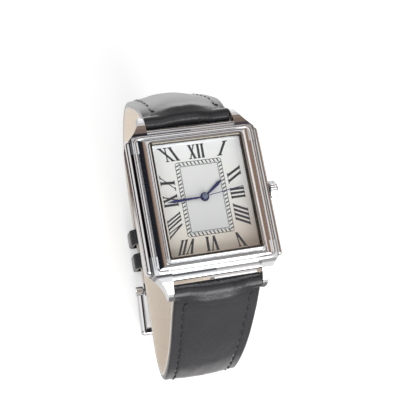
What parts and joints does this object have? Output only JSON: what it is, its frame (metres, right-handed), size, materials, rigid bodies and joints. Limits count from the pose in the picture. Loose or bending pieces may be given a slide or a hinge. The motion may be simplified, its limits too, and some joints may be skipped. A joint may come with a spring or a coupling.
{
  "type": "wristwatch",
  "caption": "Rectangular quartz wristwatch with a stepped polished case, recessed dial, centre hands, fluted crown and a curved leather strap with a pin buckle.",
  "frame": {"origin": "middle of the case back's flat face", "axes": "+Z out through the dial, +Y towards 12 o'clock, +X towards the crown at 3 o'clock"},
  "size_m": [0.0325, 0.0689, 0.0589],
  "materials": {
    "polished_steel": "mirror polished",
    "crown_steel": "polished, fluted grip",
    "brushed_steel": "brushed",
    "crystal_glass": "clear, flat",
    "gasket_plastic": "plain",
    "gasket_rubber": "plain",
    "dial_cream": "satin, silvered cream",
    "holder_plastic": "moulded",
    "brass_gilt": "satin",
    "pinion_steel": "satin",
    "board_green": "printed board",
    "cell_steel": "satin",
    "coil_copper": "enamelled copper wire",
    "hand_blue": "blued, gloss",
    "strap_leather": "fine grain, semi-matt",
    "strap_lining": "smooth, matt",
    "buckle_steel": "polished"
  },
  "bodies": {
    "case": {"case_body": "polished_steel", "bezel": "polished_steel", "crystal": "crystal_glass", "crystal_gasket": "gasket_plastic", "dial_ring": "polished_steel", "dial": "dial_cream", "movement_holder": "holder_plastic", "main_plate": "brass_gilt", "circuit_board": "board_green", "battery": "cell_steel", "battery_clip": "brass_gilt", "coil": "coil_copper", "stator": "pinion_steel", "quartz_can": "cell_steel", "train_bridge": "brass_gilt", "case_back": "brushed_steel", "back_gasket": "gasket_rubber", "case_back_screws": "brushed_steel", "crown_tube": "crown_steel", "spring_bar_12": "polished_steel", "spring_bar_6": "polished_steel"},
    "setting_pinion": {"setting_pinion": "brass_gilt"},
    "crown": {"crown": "crown_steel", "crown_gasket": "gasket_rubber", "stem": "crown_steel"},
    "hour": {"hour_hand": "hand_blue", "hour_wheel": "brass_gilt"},
    "minute": {"minute_hand": "hand_blue", "cannon_pinion": "pinion_steel"},
    "minute_wheel": {"minute_wheel": "brass_gilt"},
    "second": {"second_hand": "hand_blue", "seconds_wheel": "brass_gilt"},
    "strap_12": {"strap_12_leather": "strap_leather", "strap_12_lining": "strap_lining", "fixed_keeper": "strap_leather", "buckle_pin": "buckle_steel"},
    "free_keeper": {"free_keeper": "strap_leather"},
    "buckle": {"buckle_frame": "buckle_steel"},
    "tongue": {"buckle_tongue": "buckle_steel"},
    "strap_6": {"strap_6_leather": "strap_leather", "strap_6_lining": "strap_lining"}
  },
  "joints": [
    {"name": "minute_turn", "type": "hinge", "parent": "case", "child": "minute", "pos_m": [0, 0, 0.0055], "axis": [0, 0, -1], "continuous": true},
    {"name": "hour_turn", "type": "hinge", "parent": "case", "child": "hour", "pos_m": [0, 0, 0.0055], "axis": [0, 0, -1], "continuous": true},
    {"name": "minute_wheel_turn", "type": "hinge", "parent": "case", "child": "minute_wheel", "pos_m": [0, -0.0024, 0.0045], "axis": [0, 0, -1], "continuous": true},
    {"name": "second_turn", "type": "hinge", "parent": "case", "child": "second", "pos_m": [0, 0, 0.0055], "axis": [0, 0, -1], "continuous": true},
    {"name": "crown_turn", "type": "hinge", "parent": "case", "child": "setting_pinion", "pos_m": [0.0057, 0, 0.0031], "axis": [1, 0, 0], "continuous": true},
    {"name": "crown_pull", "type": "slide", "parent": "setting_pinion", "child": "crown", "axis": [1, 0, 0], "range_m": [0, 0.001]},
    {"name": "strap_12_swing", "type": "hinge", "parent": "case", "child": "strap_12", "pos_m": [0, 0.0192, 0.0019], "axis": [1, 0, 0], "range_deg": [0, 75]},
    {"name": "strap_6_swing", "type": "hinge", "parent": "case", "child": "strap_6", "pos_m": [0, -0.0192, 0.0019], "axis": [1, 0, 0], "range_deg": [-23, 0]},
    {"name": "free_keeper_slide", "type": "slide", "parent": "strap_12", "child": "free_keeper", "axis": [0, 1, 0], "range_m": [-0.0022, 0.003]},
    {"name": "buckle_swing", "type": "hinge", "parent": "strap_12", "child": "buckle", "pos_m": [0, -0.01182, -0.04555], "axis": [1, 0, 0], "range_deg": [0, 50]},
    {"name": "tongue_swing", "type": "hinge", "parent": "buckle", "child": "tongue", "pos_m": [0, -0.01182, -0.04555], "axis": [1, 0, 0], "range_deg": [0, 55]}
  ],
  "couplings": [
    {"joint": "minute_turn", "follows": "second_turn", "ratio": 0.016667},
    {"joint": "hour_turn", "follows": "second_turn", "ratio": 0.0013889},
    {"joint": "minute_wheel_turn", "follows": "second_turn", "ratio": -0.0055556},
    {"joint": "strap_6_swing", "follows": "strap_12_swing", "ratio": -0.3}
  ]
}
